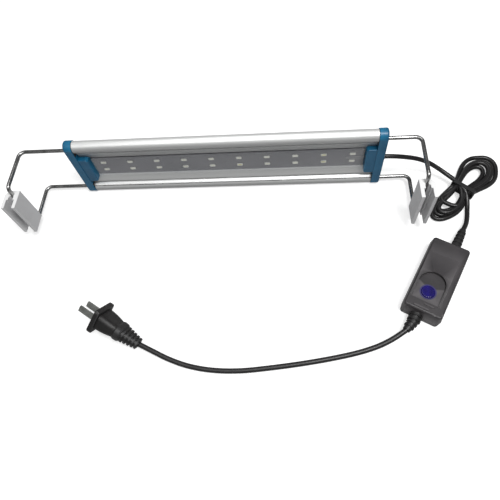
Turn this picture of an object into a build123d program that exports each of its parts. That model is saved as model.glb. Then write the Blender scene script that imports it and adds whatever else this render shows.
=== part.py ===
from build123d import *
import math
import os

os.makedirs("parts", exist_ok=True)

# ------------------------------------------------------------------
# Driving dimensions, millimetres.
# X runs along the lamp, -Y is the side the light comes out of,
# +Z is up while the lamp stands on its lower long edge.
# The origin is the middle of the flat that the lamp rests on.
# ------------------------------------------------------------------
# housing extrusion
mid_z = 39.02            # height of the lamp's long centre line
rail_r = 6.5             # outer radius of each edge rail
rail_off = 32.7          # rail centre above and below the centre line
housing_half = 157.2     # half length of the extrusion
bore_y = -2.6            # wire bore centre, across the thickness
bore_off = 30.9         # wire bore centre above and below the centre line
bore_r = 2.65
port_y = 2.8             # screw port centre
port_off = 33.6
port_r = 1.3

# end caps
cap_in = 157.8           # inner face of the end plate
cap_out = 166.8          # outer face of the end plate
cap_r = 7.2
tab_in = 147.6           # inner end of the tab that covers the channel end
tab_half = 18.0
tab_side = -0.46           # where the tab's long sides meet the sloped channel
tab_front = -6.6

# light engine
floor_y = 2.6            # channel floor
pad_t = 0.4
board_t = 1.4
board_half_x = 146.4
board_half_z = 13.9
led_pitch = 30.0
led_rows = 11.05
led_l = 5.7
led_w = 3.0
led_t = 0.9

# bracket wires
wire_r = 2.0
bush_r = 3.1
bush_bore = 2.06
arm_len = 140.0
bend_r = 5.0
arm_bend_r = 6.5
crossbar_y = -50.3
left_x = -217.1          # crossbar of the left bracket
right_x = 198.8          # crossbar of the right bracket
reach_max = 52.7         # cap face to leg centre, pulled right out
stop_len = 6.0

# glass clips (u is measured outwards from the face towards the lamp)
clip_z0 = 13.4
clip_z1 = 60.4
clip_inner_wall = 3.4
clip_slot = 8.4
clip_outer_wall = 3.2
clip_width = clip_inner_wall + clip_slot + clip_outer_wall
clip_back = -46.1
clip_front = -67.6
slot_floor = -57.1
clip_u = 6.9             # crossbar centre from the clip's lamp-side face
clip_bore = 2.08

# cords
lamp_cord_r = 2.4
mains_cord_r = 2.5

# inline driver
drv_x, drv_y = 207.04, -129.75
drv_ax, drv_ay = -0.4817, -0.8763   # long axis, pointing to the mains end
drv_s0, drv_s1 = -41.0, 41.0
drv_w = 38.0
drv_h = 20.0
drv_split = 10.0
drv_wall = 1.6
btn_s, btn_t = 19.1, -2.3
btn_r = 6.2
dc_t, mains_t = 4.2, -3.2   # where the two cords leave, across the width
btn_travel = 1.0

# plug
plug_base = (-118.4, -167.9, 18.35)
plug_tail = (-77.65, -192.5, 6.7)
plug_roll = 50.75
blade_gap = 12.7


def arcs(points):
    """One radius per corner: 0.45 of the shorter run over tan(half turn)."""
    radii = []
    for i in range(1, len(points) - 1):
        a, b, c = Vector(*points[i - 1]), Vector(*points[i]), Vector(*points[i + 1])
        turn = (b - a).get_angle(c - b)
        short = min((b - a).length, (c - b).length)
        radii.append(0.45 * short / math.tan(math.radians(turn) / 2))
    return radii


def route_report(name, points, part, section_r):
    radii = arcs(points)
    path = FilletPolyline(*points, radius=radii)
    want = math.pi * section_r ** 2 * path.length
    print(name, "length", round(path.length, 1), "radii", [round(r) for r in radii],
          "volume ratio", round(part.volume / want, 4))


# ------------------------------------------------------------------
# Housing: one extrusion with a round rail along each long edge, a
# sloped channel for the light engine and shallow fins on its back.
# ------------------------------------------------------------------
half_web = [(6.5, 0), (floor_y, 0), (floor_y, 14.3), (1.1, 14.3), (-2.0, 23.3),
            (-2.0, 24.3), (1.5, 24.9), (1.5, 32.7), (6.5, 32.7)]
chamber = [(2.2, 16.4), (0.35, 22.0), (4.0, 22.0), (4.0, 16.4)]

with BuildPart() as housing:
    with BuildSketch(Plane.YZ.offset(-housing_half)) as profile:
        with Locations((0, mid_z + rail_off), (0, mid_z - rail_off)):
            Circle(rail_r)
        for side in (1, -1):
            with BuildLine():
                Polyline(*[(y, mid_z + side * z) for y, z in half_web], close=True)
            make_face()
        # closed hollow in each web
        for side in (1, -1):
            with BuildLine():
                Polyline(*[(y, mid_z + side * z) for y, z in chamber], close=True)
            make_face(mode=Mode.SUBTRACT)
        # wire bores, open to the front through a narrow slit
        with Locations((bore_y, mid_z + bore_off), (bore_y, mid_z - bore_off)):
            Circle(bore_r, mode=Mode.SUBTRACT)
        with Locations(Location((bore_y - 2.0, mid_z + bore_off - 2.0, 0), (0, 0, 45)),
                       Location((bore_y - 2.0, mid_z - bore_off + 2.0, 0), (0, 0, -45))):
            Rectangle(3.2, 0.9, mode=Mode.SUBTRACT)
        with Locations((port_y, mid_z + port_off), (port_y, mid_z - port_off)):
            Circle(port_r, mode=Mode.SUBTRACT)
        # cooling grooves on the back
        with Locations((6.5, mid_z)):
            with GridLocations(1, 4, 1, 13):
                Rectangle(2.6, 1.8, mode=Mode.SUBTRACT)
        # resting flat along the lower rail
        with Locations((0, -1)):
            Rectangle(20, 2, mode=Mode.SUBTRACT)
    extrude(amount=2 * housing_half)
housing.part.label = "housing"
export_step(housing.part, "parts/housing.step")

# ------------------------------------------------------------------
# Light engine
# ------------------------------------------------------------------
board_back = floor_y - pad_t
board_front = board_back - board_t

with BuildPart() as thermal_pad:
    with BuildSketch(Plane.XZ.offset(-floor_y)):
        with Locations((0, mid_z)):
            Rectangle(2 * board_half_x - 4, 2 * board_half_z - 1)
    extrude(amount=pad_t)
thermal_pad.part.label = "thermal_pad"
export_step(thermal_pad.part, "parts/thermal_pad.step")

with BuildPart() as led_board:
    with BuildSketch(Plane.XZ.offset(-board_back)):
        with Locations((0, mid_z)):
            RectangleRounded(2 * board_half_x, 2 * board_half_z, 1.0)
    extrude(amount=board_t)
led_board.part.label = "led_board"
export_step(led_board.part, "parts/led_board.step")

with BuildPart() as led_chips:
    with BuildSketch(Plane.XZ.offset(-board_front)):
        with Locations((0, mid_z)):
            with GridLocations(led_pitch, led_rows, 10, 2):
                Rectangle(led_l, led_w)
    extrude(amount=led_t)
led_chips.part.label = "led_chips"
export_step(led_chips.part, "parts/led_chips.step")

# chip resistors and the two solder pads between the rows
with BuildPart() as board_resistors:
    with BuildSketch(Plane.XZ.offset(-board_front)):
        with Locations((-120, mid_z), (-60, mid_z), (0, mid_z), (60, mid_z)):
            Rectangle(1.6, 0.8)
    extrude(amount=0.5)
board_resistors.part.label = "board_resistors"
export_step(board_resistors.part, "parts/board_resistors.step")

# clear cover: a shallow tray over the chips, standing on the board
with BuildPart() as cover_lens:
    with BuildSketch(Plane.XZ.offset(-board_front)):
        with Locations((0, mid_z)):
            RectangleRounded(2 * board_half_x, 2 * board_half_z, 1.0)
    extrude(amount=2.0)
    with BuildSketch(Plane.XZ.offset(-board_front)):
        with Locations((0, mid_z)):
            RectangleRounded(2 * board_half_x - 1.4, 2 * board_half_z - 1.4, 0.5)
    extrude(amount=1.4, mode=Mode.SUBTRACT)
    # notch where the supply leads come in
    with BuildSketch(Plane.YZ.offset(board_half_x - 2)):
        with Locations((board_front - 0.7, mid_z)):
            Rectangle(1.42, 4.4)
    extrude(amount=4, mode=Mode.SUBTRACT)
cover_lens.part.label = "cover_lens"
export_step(cover_lens.part, "parts/cover_lens.step")

# ------------------------------------------------------------------
# End caps: a stadium end plate and a tab over the end of the channel
# ------------------------------------------------------------------
with BuildPart() as end_cap_left:
    with BuildSketch(Plane.YZ.offset(-cap_out)):
        with Locations((0, mid_z)):
            SlotCenterToCenter(2 * rail_off, 2 * cap_r, rotation=90)
        with Locations((0, -5)):
            Rectangle(30, 10, mode=Mode.SUBTRACT)
    extrude(amount=cap_out - cap_in)
    fillet(end_cap_left.faces().sort_by(Axis.X)[0].edges(), 1.9)
    with BuildSketch(Plane.YZ.offset(-cap_in)):
        with BuildLine():
            Polyline((tab_front, mid_z - tab_half), (tab_side, mid_z - tab_half), (0.85, mid_z - 14.15),
                     (floor_y - 0.1, mid_z - 14.15), (floor_y - 0.1, mid_z + 14.15),
                     (0.85, mid_z + 14.15), (tab_side, mid_z + tab_half), (tab_front, mid_z + tab_half),
                     close=True)
        make_face()
    extrude(amount=cap_in - tab_in)
    # rounded tab corners and front rim
    fillet(end_cap_left.faces().sort_by(Axis.X)[-1].edges().filter_by(Axis.Y).group_by(Axis.Y)[0], 2.6)
    fillet(end_cap_left.faces().sort_by(Axis.X)[-1].edges().filter_by(Axis.Z).sort_by(Axis.Y)[0], 0.9)
    # seats for the wire bushes
    with BuildSketch(Plane.YZ.offset(-cap_out)):
        with Locations((bore_y, mid_z + bore_off), (bore_y, mid_z - bore_off)):
            Circle(bush_r)
    extrude(amount=cap_out - cap_in, mode=Mode.SUBTRACT)
    # screw holes, counterbored from outside
    with BuildSketch(Plane.YZ.offset(-cap_out)):
        with Locations((port_y, mid_z + port_off), (port_y, mid_z - port_off)):
            Circle(1.5)
    extrude(amount=cap_out - cap_in, mode=Mode.SUBTRACT)
    with BuildSketch(Plane.YZ.offset(-cap_out)):
        with Locations((port_y, mid_z + port_off), (port_y, mid_z - port_off)):
            Circle(2.5)
    extrude(amount=2.6, mode=Mode.SUBTRACT)
end_cap_left.part.label = "end_cap_left"
export_step(end_cap_left.part, "parts/end_cap_left.step")

with BuildPart() as end_cap_right:
    mirror(end_cap_left.part, about=Plane.YZ)
    # passage for the cord and its leads
    with BuildSketch(Plane.YZ.offset(cap_out)):
        with Locations((0.2, mid_z)):
            Circle(3.4)
    extrude(amount=-(cap_out - cap_in), mode=Mode.SUBTRACT)
    with BuildSketch(Plane.YZ.offset(cap_in)):
        with Locations((0.0, mid_z)):
            Rectangle(2.2, 5.0)
    extrude(amount=-(cap_in - tab_in), mode=Mode.SUBTRACT)
end_cap_right.part.label = "end_cap_right"
export_step(end_cap_right.part, "parts/end_cap_right.step")

with BuildPart() as cap_gasket_left:
    with BuildSketch(Plane.YZ.offset(-cap_in)):
        with Locations((0, mid_z)):
            SlotCenterToCenter(2 * rail_off, 2 * rail_r - 0.6, rotation=90)
        with Locations((-4.4, mid_z)):
            Rectangle(11.2, 2 * 24.2, mode=Mode.SUBTRACT)
        with Locations((floor_y / 2 - 2.4, mid_z)):
            Rectangle(floor_y + 4.8, 30, mode=Mode.SUBTRACT)
        with Locations((0, -5)):
            Rectangle(30, 11, mode=Mode.SUBTRACT)
        with Locations((bore_y, mid_z + bore_off), (bore_y, mid_z - bore_off)):
            Circle(2.9, mode=Mode.SUBTRACT)
        with Locations((port_y, mid_z + port_off), (port_y, mid_z - port_off)):
            Circle(1.5, mode=Mode.SUBTRACT)
    extrude(amount=cap_in - housing_half)
cap_gasket_left.part.label = "cap_gasket_left"
export_step(cap_gasket_left.part, "parts/cap_gasket_left.step")

with BuildPart() as cap_gasket_right:
    mirror(cap_gasket_left.part, about=Plane.YZ)
cap_gasket_right.part.label = "cap_gasket_right"
export_step(cap_gasket_right.part, "parts/cap_gasket_right.step")

with BuildPart() as end_cap_screws_left:
    with BuildSketch(Plane.YZ.offset(-cap_out + 0.9)):
        with Locations((port_y, mid_z + port_off), (port_y, mid_z - port_off)):
            Circle(2.3)
    extrude(amount=1.7)
    with BuildSketch(Plane.YZ.offset(-cap_out + 2.6)):
        with Locations((port_y, mid_z + port_off), (port_y, mid_z - port_off)):
            Circle(1.22)
    extrude(amount=14.4)
    # cross slots in the heads
    with BuildSketch(Plane.YZ.offset(-cap_out + 0.9)):
        with Locations((port_y, mid_z + port_off), (port_y, mid_z - port_off)):
            Rectangle(2.6, 0.7)
            Rectangle(0.7, 2.6)
    extrude(amount=0.9, mode=Mode.SUBTRACT)
end_cap_screws_left.part.label = "end_cap_screws_left"
export_step(end_cap_screws_left.part, "parts/end_cap_screws_left.step")

with BuildPart() as end_cap_screws_right:
    mirror(end_cap_screws_left.part, about=Plane.YZ)
end_cap_screws_right.part.label = "end_cap_screws_right"
export_step(end_cap_screws_right.part, "parts/end_cap_screws_right.step")

# nylon bushes that the wires slide in
with BuildPart() as arm_bushes_left:
    with BuildSketch(Plane.YZ.offset(-cap_out + 0.3)):
        with Locations((bore_y, mid_z + bore_off), (bore_y, mid_z - bore_off)):
            Circle(bush_r)
            Circle(bush_bore, mode=Mode.SUBTRACT)
    extrude(amount=cap_out - cap_in - 0.3)
arm_bushes_left.part.label = "arm_bushes_left"
export_step(arm_bushes_left.part, "parts/arm_bushes_left.step")

with BuildPart() as arm_bushes_right:
    mirror(arm_bushes_left.part, about=Plane.YZ)
arm_bushes_right.part.label = "arm_bushes_right"
export_step(arm_bushes_right.part, "parts/arm_bushes_right.step")

# grommet round the cord in the right cap
with BuildPart() as cable_grommet:
    with BuildSketch(Plane.YZ.offset(cap_in)):
        with Locations((0.2, mid_z)):
            Circle(3.4)
    extrude(amount=cap_out - cap_in)
    with BuildSketch(Plane.YZ.offset(cap_out)):
        with Locations((0.2, mid_z)):
            Circle(3.9)
    extrude(amount=1.0)
    fillet(cable_grommet.faces().sort_by(Axis.X)[-1].edges(), 0.7)
    with BuildSketch(Plane.YZ.offset(cap_in)):
        with Locations((0.2, mid_z - 1.1), (0.2, mid_z + 1.1)):
            Circle(0.72)
    extrude(amount=cap_out - cap_in, mode=Mode.SUBTRACT)
cable_grommet.part.label = "cable_grommet"
export_step(cable_grommet.part, "parts/cable_grommet.step")

# two insulated leads from the cord to the board, with their solder joints
with BuildPart() as supply_leads:
    with BuildSketch(Plane.YZ.offset(cap_out)):
        with Locations((0.2, mid_z - 1.1), (0.2, mid_z + 1.1)):
            Circle(0.55)
    extrude(amount=-(cap_out - 131.0))
    with BuildSketch(Plane.XZ.offset(-board_front)):
        with Locations((129.5, mid_z - 1.1), (129.5, mid_z + 1.1)):
            RectangleRounded(3.4, 1.5, 0.5)
    extrude(amount=0.9)
supply_leads.part.label = "supply_leads"
export_step(supply_leads.part, "parts/supply_leads.step")

# ------------------------------------------------------------------
# Bracket wires: one U of round wire each, both arms inside the rails
# ------------------------------------------------------------------
arm_top = mid_z + bore_off
arm_low = mid_z - bore_off

with BuildPart() as bracket_wire_left:
    with BuildLine() as left_path:
        FilletPolyline((left_x + arm_len, bore_y, arm_top), (left_x, bore_y, arm_top),
                       (left_x, crossbar_y, arm_top), (left_x, crossbar_y, arm_low),
                       (left_x, bore_y, arm_low), (left_x + arm_len, bore_y, arm_low),
                       radius=[arm_bend_r, bend_r, bend_r, arm_bend_r])
    with BuildSketch(Plane(origin=(left_x + arm_len, bore_y, arm_top), z_dir=(-1, 0, 0))):
        Circle(wire_r)
    sweep(path=left_path.line)
bracket_wire_left.part.label = "bracket_wire_left"
export_step(bracket_wire_left.part, "parts/bracket_wire_left.step")

with BuildPart() as bracket_wire_right:
    with BuildLine() as right_path:
        FilletPolyline((right_x - arm_len, bore_y, arm_top), (right_x, bore_y, arm_top),
                       (right_x, crossbar_y, arm_top), (right_x, crossbar_y, arm_low),
                       (right_x, bore_y, arm_low), (right_x - arm_len, bore_y, arm_low),
                       radius=[arm_bend_r, bend_r, bend_r, arm_bend_r])
    with BuildSketch(Plane(origin=(right_x - arm_len, bore_y, arm_top), z_dir=(1, 0, 0))):
        Circle(wire_r)
    sweep(path=right_path.line)
bracket_wire_right.part.label = "bracket_wire_right"
export_step(bracket_wire_right.part, "parts/bracket_wire_right.step")

# collars pressed on the arms: one near each tip guides it in the bore,
# the other meets the bush when the bracket is pulled right out
left_stop = -cap_in + (reach_max - (-left_x - cap_out)) + 0.3
with BuildPart() as arm_collars_left:
    with BuildSketch(Plane.YZ.offset(left_stop)):
        with Locations((bore_y, arm_top), (bore_y, arm_low)):
            Circle(bore_r - 0.12)
            Circle(wire_r, mode=Mode.SUBTRACT)
    extrude(amount=stop_len)
    with BuildSketch(Plane.YZ.offset(left_x + arm_len - 1.0 - stop_len)):
        with Locations((bore_y, arm_top), (bore_y, arm_low)):
            Circle(bore_r - 0.12)
            Circle(wire_r, mode=Mode.SUBTRACT)
    extrude(amount=stop_len)
arm_collars_left.part.label = "arm_collars_left"
export_step(arm_collars_left.part, "parts/arm_collars_left.step")

right_stop = cap_in - (reach_max - (right_x - cap_out)) - 0.3
with BuildPart() as arm_collars_right:
    with BuildSketch(Plane.YZ.offset(right_stop)):
        with Locations((bore_y, arm_top), (bore_y, arm_low)):
            Circle(bore_r - 0.12)
            Circle(wire_r, mode=Mode.SUBTRACT)
    extrude(amount=-stop_len)
    with BuildSketch(Plane.YZ.offset(right_x - arm_len + 1.0 + stop_len)):
        with Locations((bore_y, arm_top), (bore_y, arm_low)):
            Circle(bore_r - 0.12)
            Circle(wire_r, mode=Mode.SUBTRACT)
    extrude(amount=-stop_len)
arm_collars_right.part.label = "arm_collars_right"
export_step(arm_collars_right.part, "parts/arm_collars_right.step")

# ------------------------------------------------------------------
# Glass clips: a plastic section cut to length. The wide slot takes the
# glass, the narrower one behind it snaps over the crossbar.
# ------------------------------------------------------------------
def clip_outline(x_wire, out):
    """Corner points of the section; out is +1 where outwards is +X."""
    x0 = x_wire - out * clip_u
    pts = [(0, clip_back), (0, clip_front), (clip_inner_wall, clip_front),
           (clip_inner_wall, slot_floor), (5.0, slot_floor), (5.0, -53.6),
           (clip_u - 1.6, -52.6), (clip_u - 1.6, -50.3), (clip_u + 1.6, -50.3),
           (clip_u + 1.6, -52.6), (10.2, -53.6), (10.2, slot_floor),
           (clip_inner_wall + clip_slot, slot_floor), (clip_inner_wall + clip_slot, clip_front),
           (clip_width, clip_front), (clip_width, -50.6), (clip_width - 4.5, clip_back)]
    return [(x0 + out * u, y) for u, y in pts]


with BuildPart() as glass_clip_left:
    with BuildSketch(Plane.XY.offset(clip_z0)):
        with BuildLine():
            Polyline(*clip_outline(left_x, -1), close=True)
        make_face()
        with Locations((left_x, crossbar_y)):
            Circle(clip_bore, mode=Mode.SUBTRACT)
    extrude(amount=clip_z1 - clip_z0)
    fillet(glass_clip_left.edges().filter_by(Axis.Z).group_by(Axis.Y)[0], 0.7)
glass_clip_left.part.label = "glass_clip_left"
export_step(glass_clip_left.part, "parts/glass_clip_left.step")

with BuildPart() as glass_clip_right:
    with BuildSketch(Plane.XY.offset(clip_z0)):
        with BuildLine():
            Polyline(*clip_outline(right_x, 1), close=True)
        make_face()
        with Locations((right_x, crossbar_y)):
            Circle(clip_bore, mode=Mode.SUBTRACT)
    extrude(amount=clip_z1 - clip_z0)
    fillet(glass_clip_right.edges().filter_by(Axis.Z).group_by(Axis.Y)[0], 0.7)
glass_clip_right.part.label = "glass_clip_right"
export_step(glass_clip_right.part, "parts/glass_clip_right.step")

# ------------------------------------------------------------------
# Lamp cord, the tied hank and the lead into the driver
# ------------------------------------------------------------------
lamp_route = [(cap_out + 1.0, 0.2, mid_z), (175.5, 0.2, mid_z), (189.5, 2.2, 34.6), (204.0, 4.6, 28.4),
              (217.0, 4.8, 21.6), (228.5, 0.8, 15.4), (238.5, -5.6, 10.6), (246.5, -12.4, 8.0)]
with BuildPart() as lamp_cord:
    with BuildLine() as lamp_path:
        FilletPolyline(*lamp_route, radius=arcs(lamp_route))
    with BuildSketch(Plane(origin=lamp_path.line @ 0, z_dir=lamp_path.line % 0)):
        Circle(lamp_cord_r)
    sweep(path=lamp_path.line)
lamp_cord.part.label = "lamp_cord"
export_step(lamp_cord.part, "parts/lamp_cord.step")
route_report("lamp_cord", lamp_route, lamp_cord.part, lamp_cord_r)

hank_outline = [(249.6, -2.4), (253.7, 7.1), (257.6, 13.9), (262.5, 19.3), (267.5, 23.4), (272.1, 25.0),
                (278.6, 25.3), (285.1, 25.4), (289.9, 23.1), (293.3, 18.7), (295.4, 13.7), (295.6, 6.7),
                (293.7, 0.0), (292.6, -5.4), (289.7, -10.7), (285.3, -14.5), (279.4, -18.2), (272.5, -21.9),
                (265.9, -24.3), (261.8, -26.8), (258.2, -32.5), (251.6, -40.6), (247.7, -45.5), (242.8, -50.4),
                (237.2, -53.6), (232.6, -56.9), (228.3, -58.6), (221.3, -58.4), (217.6, -56.5), (215.2, -52.1),
                (218.8, -44.7), (223.3, -35.9), (227.0, -28.2), (230.7, -24.8), (236.8, -19.4), (241.3, -14.2),
                (244.2, -9.6)]
hank_upper = [(264.0, 14.5), (270.8, 18.6), (279.6, 19.8), (286.2, 18.0), (290.2, 12.2),
              (291.0, 6.4), (287.0, -6.6), (278.0, -16.0), (266.0, -21.5), (258.5, -24.5),
              (254.5, -31.5), (246.5, -38.5), (241.0, -45.5), (235.6, -50.6), (228.5, -54.6),
              (223.0, -53.2), (224.6, -41.5), (230.6, -31.5), (238.0, -24.5),
              (245.6, -15.0), (250.8, -5.6), (257.0, 6.0)]
with BuildPart() as cord_hank:
    with BuildSketch(Plane.XY):
        with BuildLine():
            Polyline(*hank_outline, close=True)
        make_face()
    extrude(amount=5.6)
    with BuildSketch(Plane.XY.offset(5.6)):
        with BuildLine():
            Polyline(*hank_upper, close=True)
        make_face()
    extrude(amount=6.4)
cord_hank.part.label = "cord_hank"
export_step(cord_hank.part, "parts/cord_hank.step")

# flexible tie round the waist of the hank
with BuildPart() as cord_tie:
    with BuildSketch(Plane(origin=(252.4, -21.6, 6.5), x_dir=(0.75, -0.66, 0), z_dir=(0.66, 0.75, 0))):
        RectangleRounded(25.6, 13.0, 2.4)
        RectangleRounded(23.4, 10.8, 1.8, mode=Mode.SUBTRACT)
    extrude(amount=2.2, both=True)
cord_tie.part.label = "cord_tie"
export_step(cord_tie.part, "parts/cord_tie.step")

# ------------------------------------------------------------------
# Inline driver: local x runs to the mains end, local y across
# ------------------------------------------------------------------
drv_plane = Plane(origin=(drv_x, drv_y, 0), x_dir=(drv_ax, drv_ay, 0), z_dir=(0, 0, 1))
drv_len = drv_s1 - drv_s0
drv_mid = (drv_s1 + drv_s0) / 2
dc_tip = drv_plane.from_local_coords(Vector(-65.3, dc_t, drv_split))

lead_route = [(dc_tip.X, dc_tip.Y, drv_split), (246.6, -68.0, 8.0), (250.2, -60.2, 4.9),
              (252.8, -51.8, 2.9), (254.4, -43.8, 2.5), (255.1, -36.4, 2.5)]
with BuildPart() as driver_lead:
    with BuildLine() as lead_path:
        FilletPolyline(*lead_route, radius=arcs(lead_route))
    with BuildSketch(Plane(origin=lead_path.line @ 0, z_dir=lead_path.line % 0)):
        Circle(lamp_cord_r)
    sweep(path=lead_path.line)
driver_lead.part.label = "driver_lead"
export_step(driver_lead.part, "parts/driver_lead.step")
route_report("driver_lead", lead_route, driver_lead.part, lamp_cord_r)

dc_x = Plane(origin=drv_plane.from_local_coords(Vector(0, dc_t, drv_split)), x_dir=(0, 0, 1), z_dir=(drv_ax, drv_ay, 0))
mains_x = Plane(origin=drv_plane.from_local_coords(Vector(0, mains_t, drv_split)), x_dir=(0, 0, 1),
                z_dir=(drv_ax, drv_ay, 0))

with BuildPart() as driver_case_base:
    with BuildSketch(drv_plane):
        with Locations((drv_mid, 0)):
            RectangleRounded(drv_len - 1.6, drv_w - 1.6, 3.0)
    with BuildSketch(drv_plane.offset(drv_split)):
        with Locations((drv_mid, 0)):
            RectangleRounded(drv_len, drv_w, 3.6)
    loft()
    with BuildSketch(drv_plane.offset(2.0)):
        with Locations((drv_mid, 0)):
            RectangleRounded(drv_len - 2 * drv_wall - 1.4, drv_w - 2 * drv_wall - 1.4, 2.0)
    extrude(amount=drv_split - 2.0, mode=Mode.SUBTRACT)
    # screw bosses and board ledges
    with BuildSketch(drv_plane.offset(2.0)):
        with Locations((drv_s0 + 6.2, -11.2), (drv_s0 + 6.2, 11.2), (drv_s1 - 6.2, -11.2), (drv_s1 - 6.2, 11.2)):
            Circle(3.0)
    extrude(amount=drv_split - 2.0)
    with BuildSketch(drv_plane):
        with Locations((drv_s0 + 6.2, -11.2), (drv_s0 + 6.2, 11.2), (drv_s1 - 6.2, -11.2), (drv_s1 - 6.2, 11.2)):
            Circle(1.2)
    extrude(amount=drv_split, mode=Mode.SUBTRACT)
    with BuildSketch(drv_plane):
        with Locations((drv_s0 + 6.2, -11.2), (drv_s0 + 6.2, 11.2), (drv_s1 - 6.2, -11.2), (drv_s1 - 6.2, 11.2)):
            Circle(2.2)
    extrude(amount=1.6, mode=Mode.SUBTRACT)
    # half-round seats for the strain reliefs
    with BuildSketch(dc_x.offset(drv_s0 - 2)):
        Circle(3.0)
    extrude(amount=8, mode=Mode.SUBTRACT)
    with BuildSketch(mains_x.offset(drv_s1 - 6)):
        Circle(3.0)
    extrude(amount=8, mode=Mode.SUBTRACT)
driver_case_base.part.label = "driver_case_base"
export_step(driver_case_base.part, "parts/driver_case_base.step")

with BuildPart() as driver_case_top:
    with BuildSketch(drv_plane.offset(drv_split)):
        with Locations((drv_mid, 0)):
            RectangleRounded(drv_len, drv_w, 3.6)
    with BuildSketch(drv_plane.offset(drv_h)):
        with Locations((drv_mid, 0)):
            RectangleRounded(drv_len - 2.4, drv_w - 2.4, 3.0)
    loft()
    fillet(driver_case_top.faces().sort_by(Axis.Z)[-1].edges(), 2.0)
    with BuildSketch(drv_plane.offset(drv_split)):
        with Locations((drv_mid, 0)):
            RectangleRounded(drv_len - 2 * drv_wall - 3.0, drv_w - 2 * drv_wall - 3.0, 2.0)
    extrude(amount=drv_h - drv_split - 3.4, mode=Mode.SUBTRACT)
    # hood that rises from the lamp end to the rim of the arch
    with BuildSketch(Plane(origin=drv_plane.from_local_coords(Vector(0, btn_t + 0.5 - 14.6, 0)),
                           x_dir=(drv_ax, drv_ay, 0), z_dir=(-drv_ay, drv_ax, 0))) as hood_side:
        with BuildLine():
            Polyline((-23.0, -drv_h + 1.0), (-23.0, -drv_h), (-1.0, -drv_h - 1.7), (13.0, -drv_h - 1.3),
                     (29.5, -drv_h), (29.5, -drv_h + 1.0), close=True)
        make_face()
    extrude(amount=29.2)
    # arched recess round the button
    with BuildSketch(drv_plane.offset(drv_h - 1.3)):
        with Locations((10.8, btn_t + 0.5)):
            Circle(12.4)
        with Locations((20.2, btn_t + 0.5)):
            Rectangle(18.8, 24.8)
    extrude(amount=5, mode=Mode.SUBTRACT)
    # low bars on the mains end
    with BuildSketch(drv_plane.offset(drv_h - 0.6)):
        with Locations((36.6, -2.6)):
            RectangleRounded(1.5, 14.0, 0.7)
        with Locations((32.4, 3.2)):
            RectangleRounded(1.3, 9.0, 0.6)
    extrude(amount=1.2)
    # button opening
    with BuildSketch(drv_plane.offset(drv_split)):
        with Locations((btn_s, btn_t)):
            Circle(7.6)
    extrude(amount=drv_h, mode=Mode.SUBTRACT)
    with BuildSketch(dc_x.offset(drv_s0 - 2)):
        Circle(3.0)
    extrude(amount=8, mode=Mode.SUBTRACT)
    with BuildSketch(mains_x.offset(drv_s1 - 6)):
        Circle(3.0)
    extrude(amount=8, mode=Mode.SUBTRACT)
    # screw bosses
    with BuildSketch(drv_plane.offset(drv_split)):
        with Locations((drv_s0 + 6.2, -11.2), (drv_s0 + 6.2, 11.2), (drv_s1 - 6.2, -11.2), (drv_s1 - 6.2, 11.2)):
            Circle(2.6)
            Circle(1.15, mode=Mode.SUBTRACT)
    extrude(amount=drv_h - drv_split - 3.3)
driver_case_top.part.label = "driver_case_top"
export_step(driver_case_top.part, "parts/driver_case_top.step")

with BuildPart() as driver_screws:
    with BuildSketch(drv_plane.offset(0.3)):
        with Locations((drv_s0 + 6.2, -11.2), (drv_s0 + 6.2, 11.2), (drv_s1 - 6.2, -11.2), (drv_s1 - 6.2, 11.2)):
            Circle(2.0)
    extrude(amount=1.3)
    with BuildSketch(drv_plane.offset(1.6)):
        with Locations((drv_s0 + 6.2, -11.2), (drv_s0 + 6.2, 11.2), (drv_s1 - 6.2, -11.2), (drv_s1 - 6.2, 11.2)):
            Circle(1.1)
    extrude(amount=13.0)
driver_screws.part.label = "driver_screws"
export_step(driver_screws.part, "parts/driver_screws.step")

with BuildPart() as driver_board:
    with BuildSketch(drv_plane.offset(3.6)):
        with Locations((drv_mid, 0)):
            Rectangle(drv_len - 9, 16.0)
        with Locations((drv_mid, 0)):
            Rectangle(drv_len - 26, 27.0)
    extrude(amount=1.4)
driver_board.part.label = "driver_board"
export_step(driver_board.part, "parts/driver_board.step")

with BuildPart() as transformer:
    with BuildSketch(drv_plane.offset(5.0)):
        with Locations((-8, 0)):
            Rectangle(15, 14)
    extrude(amount=2.2)
    with BuildSketch(drv_plane.offset(7.2)):
        with Locations((-8, 0)):
            RectangleRounded(12, 11, 2)
    extrude(amount=4.6)
    with BuildSketch(drv_plane.offset(11.8)):
        with Locations((-8, 0)):
            Rectangle(15, 14)
    extrude(amount=2.2)
transformer.part.label = "transformer"
export_step(transformer.part, "parts/transformer.step")

with BuildPart() as driver_capacitors:
    with BuildSketch(drv_plane.offset(5.0)):
        with Locations((-24, 5.0), (-24, -5.0)):
            Circle(3.9)
    extrude(amount=10.0)
driver_capacitors.part.label = "driver_capacitors"
export_step(driver_capacitors.part, "parts/driver_capacitors.step")

# push switch on the board with its plunger under the button
with BuildPart() as tact_switch:
    with BuildSketch(drv_plane.offset(5.0)):
        with Locations((btn_s, btn_t)):
            Rectangle(6.0, 6.0)
    extrude(amount=4.6)
    with BuildSketch(drv_plane.offset(6.2)):
        with Locations((btn_s, btn_t)):
            Circle(1.95)
    extrude(amount=4, mode=Mode.SUBTRACT)
tact_switch.part.label = "tact_switch"
export_step(tact_switch.part, "parts/tact_switch.step")

with BuildPart() as switch_plunger:
    with BuildSketch(drv_plane.offset(7.5)):
        with Locations((btn_s, btn_t)):
            Circle(1.7)
    extrude(amount=5.5)
switch_plunger.part.label = "switch_plunger"
export_step(switch_plunger.part, "parts/switch_plunger.step")

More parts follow.
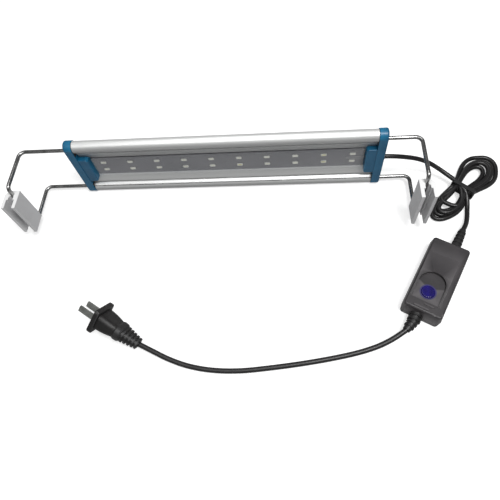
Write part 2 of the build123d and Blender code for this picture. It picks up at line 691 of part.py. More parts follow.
with BuildPart() as power_button:
    with BuildSketch(drv_plane.offset(16.0)):
        with Locations((btn_s, btn_t)):
            Circle(btn_r)
    extrude(amount=3.9)
    fillet(power_button.faces().sort_by(Axis.Z)[-1].edges(), 0.9)
    with BuildSketch(drv_plane.offset(13.0)):
        with Locations((btn_s, btn_t)):
            Circle(3.0)
    extrude(amount=3.0)
power_button.part.label = "power_button"
export_step(power_button.part, "parts/power_button.step")

# translucent ring that carries the glow round the button
with BuildPart() as button_ring:
    with BuildSketch(drv_plane.offset(15.4)):
        with Locations((btn_s, btn_t)):
            Circle(7.6)
            Circle(btn_r + 0.25, mode=Mode.SUBTRACT)
    extrude(amount=3.5)
button_ring.part.label = "button_ring"
export_step(button_ring.part, "parts/button_ring.step")

# ribbed strain reliefs
with BuildPart() as driver_relief_dc:
    with BuildSketch(dc_x.offset(drv_s0)):
        Circle(4.6)
    with BuildSketch(dc_x.offset(-65.3)):
        Circle(3.2)
    loft()
    with BuildSketch(dc_x.offset(drv_s0 + 4.0)):
        Circle(2.95)
    extrude(amount=-4.0)
    for s in (-44.5, -49.0, -53.5, -58.0, -62.3):
        with BuildSketch(dc_x.offset(s)):
            Circle(5.3 - (drv_s0 - s) * 0.06)
        extrude(amount=1.8)
driver_relief_dc.part.label = "driver_relief_dc"
export_step(driver_relief_dc.part, "parts/driver_relief_dc.step")

knee = drv_plane.from_local_coords(Vector(49.0, mains_t, drv_split - 0.3))
mains_tip = Vector(173.6, -179.0, 9.15)
tip_dir = (mains_tip - knee).normalized()
tip_len = (mains_tip - knee).length
knee_plane = Plane(origin=knee, x_dir=(0, 0, 1), z_dir=tip_dir)
with BuildPart() as driver_relief_mains:
    with BuildSketch(mains_x.offset(drv_s1)):
        Circle(5.7)
    with BuildSketch(mains_x.offset(49.0)):
        Circle(4.9)
    loft()
    with BuildSketch(mains_x.offset(drv_s1 - 4.0)):
        Circle(2.95)
    extrude(amount=4.0)
    with Locations(knee):
        Sphere(4.85)
    with BuildSketch(knee_plane):
        Circle(4.8)
    with BuildSketch(knee_plane.offset(tip_len)):
        Circle(3.5)
    loft()
    for s in (42.2, 46.4):
        with BuildSketch(mains_x.offset(s)):
            Circle(6.5 - (s - drv_s1) * 0.07)
        extrude(amount=2.0)
    for s in (1.0, 5.0):
        with BuildSketch(knee_plane.offset(s)):
            Circle(5.4 - s * 0.1)
        extrude(amount=1.8)
driver_relief_mains.part.label = "driver_relief_mains"
export_step(driver_relief_mains.part, "parts/driver_relief_mains.step")

# ------------------------------------------------------------------
# Mains cord
# ------------------------------------------------------------------
mains_route = [(mains_tip.X, mains_tip.Y, mains_tip.Z), (167.6, -183.2, 8.4), (159.2, -188.0, 6.4),
               (147.0, -193.5, 4.2), (128.0, -199.2, 2.8), (103.0, -204.6, 2.5), (76.0, -209.4, 2.5),
               (48.0, -213.3, 2.5), (22.0, -216.4, 2.5), (-4.0, -216.3, 2.5), (-28.0, -212.6, 2.6),
               (-48.0, -206.0, 3.4), (-63.0, -199.2, 5.6), plug_tail]
with BuildPart() as mains_cord:
    with BuildLine() as mains_path:
        FilletPolyline(*mains_route, radius=arcs(mains_route))
    with BuildSketch(Plane(origin=mains_path.line @ 0, z_dir=mains_path.line % 0)):
        Circle(mains_cord_r)
    sweep(path=mains_path.line)
mains_cord.part.label = "mains_cord"
export_step(mains_cord.part, "parts/mains_cord.step")
route_report("mains_cord", mains_route, mains_cord.part, mains_cord_r)

# ------------------------------------------------------------------
# Plug, rolled on its side: local x separates the blades
# ------------------------------------------------------------------
plug_dir = (Vector(*plug_base) - Vector(*plug_tail)).normalized()
plug_len = (Vector(*plug_base) - Vector(*plug_tail)).length
side = Vector(0, 0, 1).cross(plug_dir).normalized() * -1
roll = math.radians(plug_roll)
blade_dir = side * math.cos(roll) + Vector(0, 0, -1) * math.sin(roll)
plug_plane = Plane(origin=plug_base, x_dir=blade_dir, z_dir=plug_dir)

with BuildPart() as plug_body:
    with BuildSketch(plug_plane):
        RectangleRounded(28.4, 25.6, 3.6)
    extrude(amount=-5.2)
    fillet(plug_body.edges().filter_by(lambda e: e.length > 4.0), 1.2)
    with BuildSketch(plug_plane.offset(-5.0)):
        RectangleRounded(23.0, 17.4, 5.0)
    with BuildSketch(plug_plane.offset(-14.6)):
        RectangleRounded(22.0, 16.0, 5.0)
    with BuildSketch(plug_plane.offset(-24.0)):
        RectangleRounded(18.6, 13.4, 5.0)
    loft()
    # collar across the waist
    with BuildSketch(plug_plane.offset(-23.6)):
        RectangleRounded(19.4, 13.6, 5.0)
    with BuildSketch(plug_plane.offset(-25.0)):
        RectangleRounded(21.0, 14.6, 5.2)
    with BuildSketch(plug_plane.offset(-29.2)):
        RectangleRounded(20.8, 14.4, 5.2)
    with BuildSketch(plug_plane.offset(-30.6)):
        RectangleRounded(18.8, 13.4, 5.0)
    loft(ruled=True)
    # blade slots
    with BuildSketch(plug_plane):
        with Locations((-blade_gap / 2, 0), (blade_gap / 2, 0)):
            Rectangle(1.5, 6.35)
    extrude(amount=-12.0, mode=Mode.SUBTRACT)
plug_body.part.label = "plug_body"
export_step(plug_body.part, "parts/plug_body.step")

with BuildPart() as plug_blades:
    with BuildSketch(plug_plane.offset(-12.0)):
        with Locations((-blade_gap / 2, 0), (blade_gap / 2, 0)):
            Rectangle(1.5, 6.35)
    extrude(amount=30.0)
    tip_faces = plug_blades.faces().sort_by(Axis(plug_base, plug_dir))[-2:]
    chamfer(tip_faces.edges().filter_by(lambda e: e.length < 2.0), 0.6)
plug_blades.part.label = "plug_blades"
export_step(plug_blades.part, "parts/plug_blades.step")

with BuildPart() as plug_relief:
    with BuildSketch(plug_plane.offset(-30.6)):
        RectangleRounded(16.4, 11.6, 5.0)
    with BuildSketch(plug_plane.offset(-plug_len)):
        RectangleRounded(9.8, 7.8, 3.6)
    loft()
    for s in (31.8, 35.6, 39.4, 43.2, 46.7):
        k = (s - 30.6) / 18.0
        with BuildSketch(plug_plane.offset(-s)):
            RectangleRounded(18.4 - 6.6 * k, 13.4 - 4.0 * k, 5.0 - 1.0 * k)
        extrude(amount=-1.9)
plug_relief.part.label = "plug_relief"
export_step(plug_relief.part, "parts/plug_relief.step")
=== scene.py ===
import bpy
import bmesh
import math
from mathutils import Vector, Matrix


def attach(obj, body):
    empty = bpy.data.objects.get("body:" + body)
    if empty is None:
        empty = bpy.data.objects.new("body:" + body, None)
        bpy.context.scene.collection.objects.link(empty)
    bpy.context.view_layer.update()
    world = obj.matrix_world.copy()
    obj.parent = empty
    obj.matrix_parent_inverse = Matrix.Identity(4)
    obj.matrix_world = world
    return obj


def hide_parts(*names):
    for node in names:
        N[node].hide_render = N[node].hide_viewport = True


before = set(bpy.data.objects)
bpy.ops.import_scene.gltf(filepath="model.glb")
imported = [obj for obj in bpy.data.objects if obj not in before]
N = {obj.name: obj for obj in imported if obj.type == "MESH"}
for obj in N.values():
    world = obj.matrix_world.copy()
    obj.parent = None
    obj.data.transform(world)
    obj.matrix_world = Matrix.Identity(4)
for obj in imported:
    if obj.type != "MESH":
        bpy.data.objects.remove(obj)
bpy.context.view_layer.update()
MM = 0.001

# ------------------------------------------------------------------
# camera
# ------------------------------------------------------------------
pitch, yaw, roll = (math.radians(a) for a in (60.967, -11.528, -11.030))
d = Vector((math.sin(yaw) * math.cos(pitch), math.cos(yaw) * math.cos(pitch), -math.sin(pitch)))
r = Vector((math.cos(yaw), -math.sin(yaw), 0))
u = r.cross(d)
r2 = math.cos(roll) * r + math.sin(roll) * u
u2 = -math.sin(roll) * r + math.cos(roll) * u
cam_data = bpy.data.cameras.new("camera")
cam_data.sensor_width = 36.0
cam_data.lens = 461.09 / 500 * 36.0
cam_data.clip_start = 0.01
cam_data.clip_end = 50
cam = bpy.data.objects.new("camera", cam_data)
bpy.context.scene.collection.objects.link(cam)
cam.matrix_world = Matrix(((r2.x, u2.x, -d.x, 0.07319), (r2.y, u2.y, -d.y, -0.32031), (r2.z, u2.z, -d.z, 0.42768), (0, 0, 0, 1)))
bpy.context.scene.camera = cam


# ------------------------------------------------------------------
# cords
# ------------------------------------------------------------------
def nurbs(name, pts, radius):
    """pts in millimetres."""
    cu = bpy.data.curves.new(name, "CURVE")
    cu.dimensions = "3D"
    sp = cu.splines.new("NURBS")
    sp.points.add(len(pts) - 1)
    for p, q in zip(sp.points, pts):
        p.co = (q[0] * MM, q[1] * MM, q[2] * MM, 1)
        p.radius = radius * MM
    sp.order_u = 3
    sp.use_endpoint_u = True
    sp.resolution_u = 8
    cu.bevel_depth = 1.0
    cu.bevel_resolution = 6
    cu.use_fill_caps = True
    o = bpy.data.objects.new(name, cu)
    bpy.context.scene.collection.objects.link(o)
    return o


lamp_route = [(167.8, 0.2, 39.02), (175.5, 0.2, 39.02), (189.5, 2.2, 34.6), (204.0, 4.6, 28.4),
              (217.0, 4.8, 21.6), (228.5, 0.8, 15.4), (238.5, -5.6, 11.4)]
lead_route = [(255.2, -37.6, 4.4), (254.4, -43.8, 2.5), (252.8, -51.8, 2.9), (250.2, -60.2, 4.9),
              (246.6, -68.0, 8.0), (242.18, -74.55, 10.0)]
# the tied turns, strand by strand, from the lamp's cord to the driver's lead
hank_route = [
    (245.7, -12.6, 10.4), (248.9, -18.8, 9.8), (250.0, -25.5, 9.0), (249.3, -33.1, 8.0), (247.5, -39.1, 7.5),
    (243.9, -42.9, 7.2), (238.5, -42.4, 7.0), (233.4, -39.4, 7.0), (229.1, -36.4, 7.2), (228.5, -32.3, 7.6),
    (231.8, -29.2, 8.0), (237.6, -26.0, 8.6), (243.5, -21.5, 9.2), (249.6, -14.0, 8.6), (255.3, -5.0, 7.0),
    (261.5, 3.1, 5.4), (268.0, 8.5, 4.6), (274.1, 9.8, 4.4), (278.4, 7.4, 4.4), (279.1, 1.7, 4.2), (276.2,
    -4.3, 4.2), (270.6, -10.4, 4.8), (263.6, -15.8, 5.8), (256.5, -21.4, 7.0), (252.3, -27.0, 7.4), (248.8,
    -33.4, 6.6), (245.0, -39.5, 5.4), (239.9, -43.8, 4.6), (233.6, -46.4, 4.0), (227.5, -46.9, 3.8), (224.3,
    -43.8, 3.6), (226.2, -38.8, 3.8), (230.9, -34.0, 4.4), (236.6, -29.3, 5.4), (242.0, -23.9, 6.8), (247.8,
    -17.1, 8.8), (253.7, -7.5, 8.4), (259.7, 2.8, 7.8), (266.4, 10.5, 7.4), (273.8, 13.3, 7.4), (280.5, 11.9,
    7.4), (284.0, 6.1, 7.2), (282.8, -1.9, 7.0), (278.1, -9.6, 7.2), (270.7, -15.5, 7.6), (261.9, -20.4, 8.2),
    (255.0, -25.8, 8.8), (250.3, -32.3, 8.4), (246.9, -39.0, 7.6), (242.2, -45.2, 7.0), (235.7, -49.5, 6.6),
    (229.1, -50.7, 6.4), (224.9, -48.1, 6.4), (224.1, -42.8, 6.4), (228.2, -37.2, 6.6), (233.4, -32.5, 7.4),
    (239.2, -26.9, 8.6), (246.9, -16.8, 7.2), (252.5, -8.5, 6.4), (258.1, 1.7, 5.2), (263.4, 9.6, 4.6),
    (270.3, 15.0, 4.4), (278.6, 16.6, 4.4), (285.2, 14.1, 4.6), (288.2, 7.8, 4.6), (287.1, 0.5, 4.4), (283.5,
    -7.2, 4.4), (276.8, -13.4, 4.6), (268.6, -17.8, 4.8), (260.4, -22.4, 5.2), (254.8, -27.6, 5.4), (250.5,
    -34.1, 4.8), (246.7, -41.1, 4.0), (240.8, -46.8, 3.4), (234.3, -50.0, 3.0), (227.0, -51.3, 2.8), (221.9,
    -49.4, 2.8), (221.1, -45.0, 2.8), (224.6, -38.5, 3.0), (229.3, -32.9, 3.4), (235.3, -27.2, 3.8), (241.5,
    -21.2, 4.6), (247.8, -11.9, 4.6), (252.9, -0.1, 3.4), (257.7, 10.4, 2.8), (263.5, 18.5, 2.6), (270.9,
    23.2, 2.5), (278.5, 23.7, 2.5), (285.9, 23.4, 2.5), (291.5, 19.4, 2.5), (294.2, 12.5, 2.5), (293.5, 4.5,
    2.5), (291.2, -4.0, 2.5), (286.7, -10.7, 2.5), (279.4, -15.8, 2.5), (271.0, -19.8, 2.6), (263.5, -23.6,
    2.8), (257.5, -28.6, 2.8), (252.5, -35.5, 2.6), (248.1, -43.0, 2.5), (242.2, -49.0, 2.5), (235.1, -53.1,
    2.5), (227.9, -56.0, 2.5), (220.8, -55.9, 2.5), (217.0, -51.7, 2.5), (219.3, -44.1, 2.5), (224.0, -36.3,
    2.5), (228.7, -30.1, 2.6), (233.6, -25.1, 3.0), (238.9, -20.1, 3.6), (243.1, -16.6, 5.6), (246.5, -16.6,
    8.8), (249.9, -20.5, 10.8), (253.2, -24.8, 10.2), (254.5, -29.7, 8.0),
]
dc_points = lamp_route + hank_route + lead_route
dc_cord = nurbs("lamp_cord_line", dc_points, 2.4)
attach(dc_cord, "lamp")
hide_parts("lamp_cord", "cord_hank", "driver_lead")

mains_route = [(173.6, -179.0, 9.15), (167.6, -183.2, 8.4), (159.2, -188.0, 6.4),
               (147.0, -193.5, 4.2), (128.0, -199.2, 2.8), (103.0, -204.6, 2.5), (76.0, -209.4, 2.5),
               (48.0, -213.3, 2.5), (22.0, -216.4, 2.5), (-4.0, -216.3, 2.5), (-28.0, -212.6, 2.6),
               (-48.0, -206.0, 3.4), (-63.0, -199.2, 5.6), (-77.65, -192.5, 6.7)]
mains = nurbs("mains_cord_line", mains_route, 2.5)
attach(mains, "lamp")
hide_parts("mains_cord")


# ------------------------------------------------------------------
# materials
# ------------------------------------------------------------------
def srgb(*c):
    return tuple(((x / 255) / 12.92 if x <= 10 else ((x / 255 + 0.055) / 1.055) ** 2.4) for x in c) + (1.0,)


def mix_colour(nt, fac, a, b):
    m = nt.nodes.new("ShaderNodeMix")
    m.data_type = "RGBA"
    if fac is not None:
        nt.links.new(fac, m.inputs[0])
    for sock, v in ((m.inputs[6], a), (m.inputs[7], b)):
        if isinstance(v, tuple):
            sock.default_value = v
        else:
            nt.links.new(v, sock)
    return m.outputs[2]


def coords(nt, scale=(1, 1, 1)):
    tc = nt.nodes.new("ShaderNodeTexCoord")
    mp = nt.nodes.new("ShaderNodeMapping")
    mp.inputs["Scale"].default_value = scale
    nt.links.new(tc.outputs["Object"], mp.inputs["Vector"])
    return mp.outputs["Vector"]


def noise(nt, vec, scale, detail=3.0, rough=0.5, lo=0.35, hi=0.65):
    n = nt.nodes.new("ShaderNodeTexNoise")
    n.inputs["Scale"].default_value = scale
    n.inputs["Detail"].default_value = detail
    n.inputs["Roughness"].default_value = rough
    nt.links.new(vec, n.inputs["Vector"])
    mr = nt.nodes.new("ShaderNodeMapRange")
    mr.inputs["From Min"].default_value = lo
    mr.inputs["From Max"].default_value = hi
    nt.links.new(n.outputs[0], mr.inputs["Value"])
    return mr.outputs["Result"]


def ranged(nt, fac, lo, hi):
    mr = nt.nodes.new("ShaderNodeMapRange")
    mr.inputs["To Min"].default_value = lo
    mr.inputs["To Max"].default_value = hi
    nt.links.new(fac, mr.inputs["Value"])
    return mr.outputs["Result"]


def bump(nt, b, height, strength, distance):
    bp = nt.nodes.new("ShaderNodeBump")
    bp.inputs["Strength"].default_value = strength
    bp.inputs["Distance"].default_value = distance
    nt.links.new(height, bp.inputs["Height"])
    nt.links.new(bp.outputs["Normal"], b.inputs["Normal"])


def material(name, dark, light, rough=(0.4, 0.55), metallic=0.0, scale=(1, 1, 1), freq=40.0, detail=3.0,
             grain=(1, 1, 1), grain_freq=900.0, grain_strength=0.2, grain_mm=0.05, painted_edge_highlight=None, painted_top_light=None, painted_top_from=0.75,
             painted_top_to=0.95, **extra):
    m = bpy.data.materials.new(name)
    m.use_nodes = True
    nt = m.node_tree
    nt.nodes.clear()
    out = nt.nodes.new("ShaderNodeOutputMaterial")
    b = nt.nodes.new("ShaderNodeBsdfPrincipled")
    nt.links.new(b.outputs[0], out.inputs[0])
    fac = noise(nt, coords(nt, scale), freq, detail)
    col = mix_colour(nt, fac, dark, light)
    # painted highlight: convex edges, picked out by pointiness, are painted a paler colour where they would catch the
    # light
    if painted_edge_highlight is not None:
        geo = nt.nodes.new("ShaderNodeNewGeometry")
        mr = nt.nodes.new("ShaderNodeMapRange")
        mr.inputs["From Min"].default_value = 0.52
        mr.inputs["From Max"].default_value = 0.62
        nt.links.new(geo.outputs["Pointiness"], mr.inputs["Value"])
        col = mix_colour(nt, mr.outputs["Result"], col, painted_edge_highlight)
    if painted_top_light is not None:
        # painted light: faces turned up are painted paler than the rest, standing in for the light falling from above
        geo = nt.nodes.new("ShaderNodeNewGeometry")
        sep = nt.nodes.new("ShaderNodeSeparateXYZ")
        nt.links.new(geo.outputs["Normal"], sep.inputs[0])
        mr = nt.nodes.new("ShaderNodeMapRange")
        mr.inputs["From Min"].default_value = painted_top_from
        mr.inputs["From Max"].default_value = painted_top_to
        nt.links.new(sep.outputs["Z"], mr.inputs["Value"])
        col = mix_colour(nt, mr.outputs["Result"], col, painted_top_light)
    nt.links.new(col, b.inputs["Base Color"])
    g = noise(nt, coords(nt, grain), grain_freq, 2.0, 0.6)
    nt.links.new(ranged(nt, g, rough[0], rough[1]), b.inputs["Roughness"])
    b.inputs["Metallic"].default_value = metallic
    if grain_strength:
        bump(nt, b, g, grain_strength, grain_mm * MM)
    for k, v in extra.items():
        b.inputs[k.replace("_", " ")].default_value = v
    return m


M = {}
# the aluminium's upward faces are painted near white, a painted highlight for the light from above
M["alu"] = material("anodised_aluminium", srgb(172, 173, 173), srgb(186, 187, 187), (0.40, 0.52), 0.62,
                    scale=(4, 160, 160), freq=2.0, grain=(6, 900, 900), grain_freq=2.0, grain_strength=0.25, grain_mm=0.05, painted_top_light=srgb(244, 245, 244), painted_top_from=0.15, painted_top_to=0.75)
M["blue"] = material("blue_plastic", srgb(4, 78, 112), srgb(9, 90, 126), (0.30, 0.44), freq=60, grain_freq=1600,
                     grain_strength=0.12, grain_mm=0.03, painted_edge_highlight=srgb(34, 120, 160))
M["steel_wire"] = material("wire_steel", srgb(138, 138, 138), srgb(176, 176, 175), (0.12, 0.24), 1.0,
                           freq=120, grain=(1, 1, 1), grain_freq=1500, grain_strength=0.15, grain_mm=0.02)
M["screw"] = material("screw_steel", srgb(150, 150, 148), srgb(190, 190, 186), (0.25, 0.42), 1.0, freq=300, grain_freq=2500)
# the clip's upward faces are painted near white for the light from above, and its convex edges get a paler painted
# highlight
M["clip"] = material("grey_plastic", srgb(158, 157, 158), srgb(174, 173, 174), (0.30, 0.44), freq=50,
                     grain=(1, 1, 0.06), grain_freq=1400, grain_strength=0.18, grain_mm=0.04, painted_edge_highlight=srgb(206, 206, 207),
                     painted_top_light=srgb(240, 240, 240))
M["cord"] = material("cord_black", srgb(20, 19, 20), srgb(30, 29, 30), (0.30, 0.42), freq=80, grain_freq=1800,
                     grain_strength=0.15, grain_mm=0.03)
M["rubber"] = material("black_rubber", srgb(22, 21, 22), srgb(34, 33, 34), (0.38, 0.54), freq=90, grain_freq=1800,
                       grain_strength=0.2, grain_mm=0.04)
M["black"] = material("black_plastic", srgb(28, 28, 29), srgb(40, 40, 41), (0.35, 0.5), freq=120, grain_freq=2200)
M["driver"] = material("driver_plastic", srgb(46, 44, 46), srgb(58, 55, 57), (0.34, 0.50), freq=45, grain_freq=2600,
                       grain_strength=0.35, grain_mm=0.05, painted_edge_highlight=srgb(96, 93, 95))
M["plug"] = material("plug_black", srgb(20, 19, 19), srgb(31, 29, 29), (0.42, 0.56), freq=70, grain_freq=2200,
                     grain_strength=0.25, grain_mm=0.04, painted_edge_highlight=srgb(70, 70, 71))
M["blade"] = material("blade_metal", srgb(150, 152, 148), srgb(182, 184, 179), (0.24, 0.4), 0.85, freq=150,
                      grain=(30, 1, 1), grain_freq=600)
M["pad"] = material("grey_rubber", srgb(110, 110, 112), srgb(125, 125, 127), (0.6, 0.8))
M["green"] = material("board_green", srgb(14, 66, 34), srgb(22, 84, 44), (0.3, 0.45), freq=200)
M["copper"] = material("copper", srgb(160, 92, 44), srgb(196, 122, 66), (0.25, 0.4), 0.9, scale=(1, 1, 60), freq=30)
M["cap"] = material("capacitor_sleeve", srgb(16, 20, 34), srgb(26, 32, 52), (0.2, 0.32), freq=100)
M["lead"] = material("lead_insulation", srgb(92, 92, 94), srgb(112, 112, 114), (0.35, 0.5), freq=200)
M["button"] = material("blue_button", srgb(14, 6, 78), srgb(24, 12, 104), (0.18, 0.3), freq=160, grain_freq=2200,
                       grain_strength=0.08, Emission_Color=srgb(24, 10, 130), Emission_Strength=0.06)
M["ring"] = material("glow_ring", srgb(46, 44, 78), srgb(60, 56, 100), (0.3, 0.42), freq=160, grain_freq=2200,
                     grain_strength=0.08, Emission_Color=srgb(60, 44, 170), Emission_Strength=0.07)
M["white_pack"] = material("led_package", srgb(196, 196, 190), srgb(214, 214, 206), (0.35, 0.5), freq=300)
M["phosphor"] = material("led_phosphor", srgb(232, 230, 206), srgb(246, 245, 226), (0.15, 0.25), freq=120,
                         grain_strength=0.05)
M["phosphor_warm"] = material("led_phosphor_warm", srgb(214, 206, 128), srgb(228, 222, 150), (0.15, 0.25), freq=120,
                              grain_strength=0.05)
M["footprint"] = material("led_footprint", srgb(26, 26, 24), srgb(36, 36, 33), (0.4, 0.5), freq=300, grain_strength=0.05)
M["solder"] = material("solder", srgb(160, 160, 158), srgb(196, 196, 192), (0.2, 0.35), 1.0, freq=400)


def board_material():
    """Grey solder mask, with darker copper lands round each pair of chips."""
    m = material("board_mask", srgb(66, 65, 70), srgb(80, 78, 85), (0.36, 0.50), freq=18, detail=4,
                 grain_freq=1500, grain_strength=0.1)
    nt = m.node_tree
    b = [x for x in nt.nodes if x.type == "BSDF_PRINCIPLED"][0]
    col = b.inputs["Base Color"].links[0].from_socket
    tc = nt.nodes.new("ShaderNodeTexCoord")
    sep = nt.nodes.new("ShaderNodeSeparateXYZ")
    nt.links.new(tc.outputs["Object"], sep.inputs[0])

    def near(sock, period, offset, half, soft):
        """1 within half of the nearest multiple of period plus offset."""
        a = nt.nodes.new("ShaderNodeMath"); a.operation = "SUBTRACT"; a.inputs[1].default_value = offset
        nt.links.new(sock, a.inputs[0])
        p = nt.nodes.new("ShaderNodeMath"); p.operation = "PINGPONG"; p.inputs[1].default_value = period / 2
        nt.links.new(a.outputs[0], p.inputs[0])
        mr = nt.nodes.new("ShaderNodeMapRange")
        mr.inputs["From Min"].default_value = half - soft
        mr.inputs["From Max"].default_value = half + soft
        mr.inputs["To Min"].default_value = 1.0
        mr.inputs["To Max"].default_value = 0.0
        nt.links.new(p.outputs[0], mr.inputs["Value"])
        return mr.outputs["Result"]

    fx = near(sep.outputs["X"], 0.030, 0.015, 0.0041, 0.0004)
    fz = near(sep.outputs["Z"], 0.01105, 0.03902 + 0.005525, 0.0026, 0.0004)
    both = nt.nodes.new("ShaderNodeMath"); both.operation = "MULTIPLY"
    nt.links.new(fx, both.inputs[0]); nt.links.new(fz, both.inputs[1])
    inner = nt.nodes.new("ShaderNodeMapRange")
    nt.links.new(both.outputs[0], inner.inputs["Value"])
    inner.inputs["To Max"].default_value = 0.75
    new = mix_colour(nt, inner.outputs["Result"], col, srgb(40, 40, 38))
    nt.links.new(new, b.inputs["Base Color"])
    return m


def clear_material():
    m = material("clear_cover", srgb(225, 228, 232), srgb(236, 238, 240), (0.06, 0.14), freq=12, grain_strength=0.0)
    b = [x for x in m.node_tree.nodes if x.type == "BSDF_PRINCIPLED"][0]
    b.inputs["Alpha"].default_value = 0.13
    m.surface_render_method = "BLENDED"
    return m


M["board"] = board_material()
M["clear"] = clear_material()

paint = {
    "housing": "alu", "thermal_pad": "pad", "led_board": "board", "led_chips": "white_pack", "board_resistors": "black",
    "cover_lens": "clear", "end_cap_left": "blue", "end_cap_right": "blue", "cap_gasket_left": "rubber",
    "cap_gasket_right": "rubber", "end_cap_screws_left": "screw", "end_cap_screws_right": "screw",
    "arm_bushes_left": "black", "arm_bushes_right": "black", "cable_grommet": "rubber", "supply_leads": "lead",
    "lamp_cord": "cord", "cord_hank": "cord", "cord_tie": "black", "driver_lead": "cord", "driver_relief_dc": "rubber",
    "driver_relief_mains": "rubber", "driver_case_base": "driver", "driver_case_top": "driver", "driver_screws": "screw",
    "driver_board": "green", "transformer": "copper", "driver_capacitors": "cap", "tact_switch": "black",
    "button_ring": "ring", "mains_cord": "cord", "plug_body": "plug", "plug_blades": "blade", "plug_relief": "plug",
    "bracket_wire_left": "steel_wire", "bracket_wire_right": "steel_wire", "arm_collars_left": "screw",
    "arm_collars_right": "screw", "glass_clip_left": "clip", "glass_clip_right": "clip", "power_button": "button",
    "switch_plunger": "black"}
for node, key in paint.items():
    me = N[node].data
    me.materials.clear()
    me.materials.append(M[key])
for c in (dc_cord, mains):
    c.data.materials.append(M["cord"])


def add_mesh(name, bm, mats, body, smooth=30):
    me = bpy.data.meshes.new(name)
    bmesh.ops.recalc_face_normals(bm, faces=bm.faces)
    bm.to_mesh(me)
    bm.free()
    for k in mats:
        me.materials.append(M[k])
    me.polygons.foreach_set("use_smooth", [True] * len(me.polygons))
    try:
        me.set_sharp_from_angle(angle=math.radians(smooth))
    except AttributeError:
        pass
    o = bpy.data.objects.new(name, me)
    bpy.context.scene.collection.objects.link(o)
    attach(o, body)
    return o


# ------------------------------------------------------------------
# LED packages: white frame, sunk window with phosphor, end lands
# ------------------------------------------------------------------
def led_packages():
    front = 0.8       # board face, millimetres
    bm = bmesh.new()
    for col in range(10):
        for row in (-1, 1):
            cx = -135 + 30 * col
            cz = 39.02 + row * 5.525
            L, W, T = 2.85, 1.5, 0.9

            def ringv(l, w, y, rr, n=4):
                vs = []
                for qx, qz, a0 in ((1, 1, 0), (-1, 1, 90), (-1, -1, 180), (1, -1, 270)):
                    for i in range(n + 1):
                        a = math.radians(a0 + 90 * i / n)
                        vs.append(bm.verts.new(((cx + qx * (l - rr) + rr * math.cos(a)) * MM, y * MM,
                                                (cz + qz * (w - rr) + rr * math.sin(a)) * MM)))
                return vs

            rings = [ringv(L, W, front, 0.2), ringv(L, W, front - T + 0.12, 0.2), ringv(L - 0.12, W - 0.12, front - T, 0.2),
                     ringv(L - 0.5, W - 0.42, front - T, 0.45), ringv(L - 0.75, W - 0.62, front - T + 0.22, 0.4)]
            for a, b2 in zip(rings, rings[1:]):
                for i in range(len(a)):
                    j = (i + 1) % len(a)
                    bm.faces.new((a[i], a[j], b2[j], b2[i])).material_index = 0
            bm.faces.new(list(reversed(rings[0]))).material_index = 0
            cap = bm.faces.new(rings[-1])
            cap.material_index = 3 if col == 8 or (col == 5 and row < 0) else 1
            # dark land the package sits on, a little larger than it
            land = ringv(L + 0.75, W + 0.55, front - 0.04, 0.3)
            bm.faces.new(land).material_index = 4
            # end lands
            for sx in (-1, 1):
                res = bmesh.ops.create_cube(bm, size=1.0)
                for v in res["verts"]:
                    v.co = Vector(((cx + sx * (L + 0.25) + v.co.x * 0.9) * MM, (front - 0.16 + v.co.y * 0.3) * MM,
                                   (cz + v.co.z * 2.0) * MM))
                for f in {f for v in res["verts"] for f in v.link_faces}:
                    f.material_index = 2
    o = add_mesh("led_packages", bm, ["white_pack", "phosphor", "solder", "phosphor_warm", "footprint"], "lamp")
    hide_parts("led_chips")


led_packages()

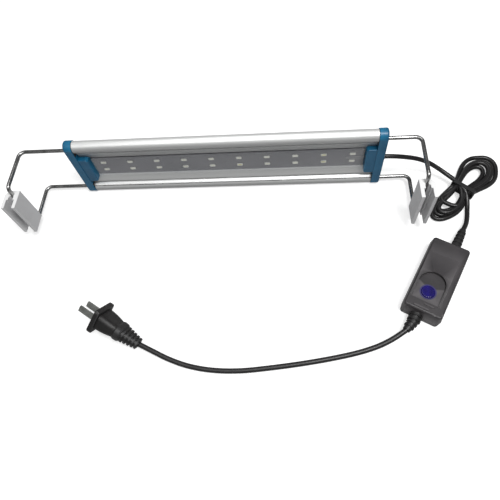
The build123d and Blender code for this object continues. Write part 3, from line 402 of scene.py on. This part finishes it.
# ------------------------------------------------------------------
# floor and light
# ------------------------------------------------------------------
def floor_material():
    """White seen directly, a paler grey to the light that bounces off it."""
    m = bpy.data.materials.new("floor")
    m.use_nodes = True
    nt = m.node_tree
    nt.nodes.clear()
    out = nt.nodes.new("ShaderNodeOutputMaterial")
    lp = nt.nodes.new("ShaderNodeLightPath")
    mixer = nt.nodes.new("ShaderNodeMixShader")
    bounce = nt.nodes.new("ShaderNodeBsdfDiffuse")
    bounce.inputs["Color"].default_value = (0.50, 0.50, 0.50, 1)
    seen = nt.nodes.new("ShaderNodeAddShader")
    diff = nt.nodes.new("ShaderNodeBsdfDiffuse")
    diff.inputs["Color"].default_value = (0.72, 0.72, 0.72, 1)
    glow = nt.nodes.new("ShaderNodeEmission")
    glow.inputs["Strength"].default_value = 0.52
    nt.links.new(diff.outputs[0], seen.inputs[0])
    nt.links.new(glow.outputs[0], seen.inputs[1])
    nt.links.new(lp.outputs["Is Camera Ray"], mixer.inputs[0])
    nt.links.new(bounce.outputs[0], mixer.inputs[1])
    nt.links.new(seen.outputs[0], mixer.inputs[2])
    nt.links.new(mixer.outputs[0], out.inputs[0])
    return m


floor_mat = floor_material()
bpy.ops.mesh.primitive_plane_add(size=8, location=(0, 0, -0.0001))
floor = bpy.context.object
floor.name = "floor"
floor.data.materials.append(floor_mat)


def area(name, loc, target, size, power, colour=(1, 1, 1)):
    ld = bpy.data.lights.new(name, "AREA")
    ld.shape = "SQUARE"
    ld.size = size
    ld.energy = power
    ld.color = colour
    o = bpy.data.objects.new(name, ld)
    bpy.context.scene.collection.objects.link(o)
    o.location = loc
    o.rotation_euler = (Vector(target) - Vector(loc)).to_track_quat("-Z", "Y").to_euler()
    return o


area("key", (0.46, -0.40, 1.30), (0.03, -0.06, 0.0), 0.45, 12)
area("soft", (-0.25, -0.62, 1.35), (0.0, -0.05, 0.03), 0.9, 5)
area("back", (-0.1, 0.42, 1.5), (0.0, -0.05, 0.0), 0.7, 4)
world = bpy.data.worlds.new("world")
bpy.context.scene.world = world
world.use_nodes = True
bg = world.node_tree.nodes["Background"]
bg.inputs["Color"].default_value = (1, 1, 1, 1)
bg.inputs["Strength"].default_value = 0.20
# the backdrop is white to the camera and dim to everything else
wt = world.node_tree
sky = wt.nodes.new("ShaderNodeBackground")
sky.inputs["Color"].default_value = (1, 1, 1, 1)
sky.inputs["Strength"].default_value = 1.0
wlp = wt.nodes.new("ShaderNodeLightPath")
wmix = wt.nodes.new("ShaderNodeMixShader")
wt.links.new(wlp.outputs["Is Camera Ray"], wmix.inputs[0])
wt.links.new(bg.outputs[0], wmix.inputs[1])
wt.links.new(sky.outputs[0], wmix.inputs[2])
wt.links.new(wmix.outputs[0], wt.nodes["World Output"].inputs["Surface"])

sc = bpy.context.scene
sc.view_settings.view_transform = "Standard"
sc.view_settings.look = "None"
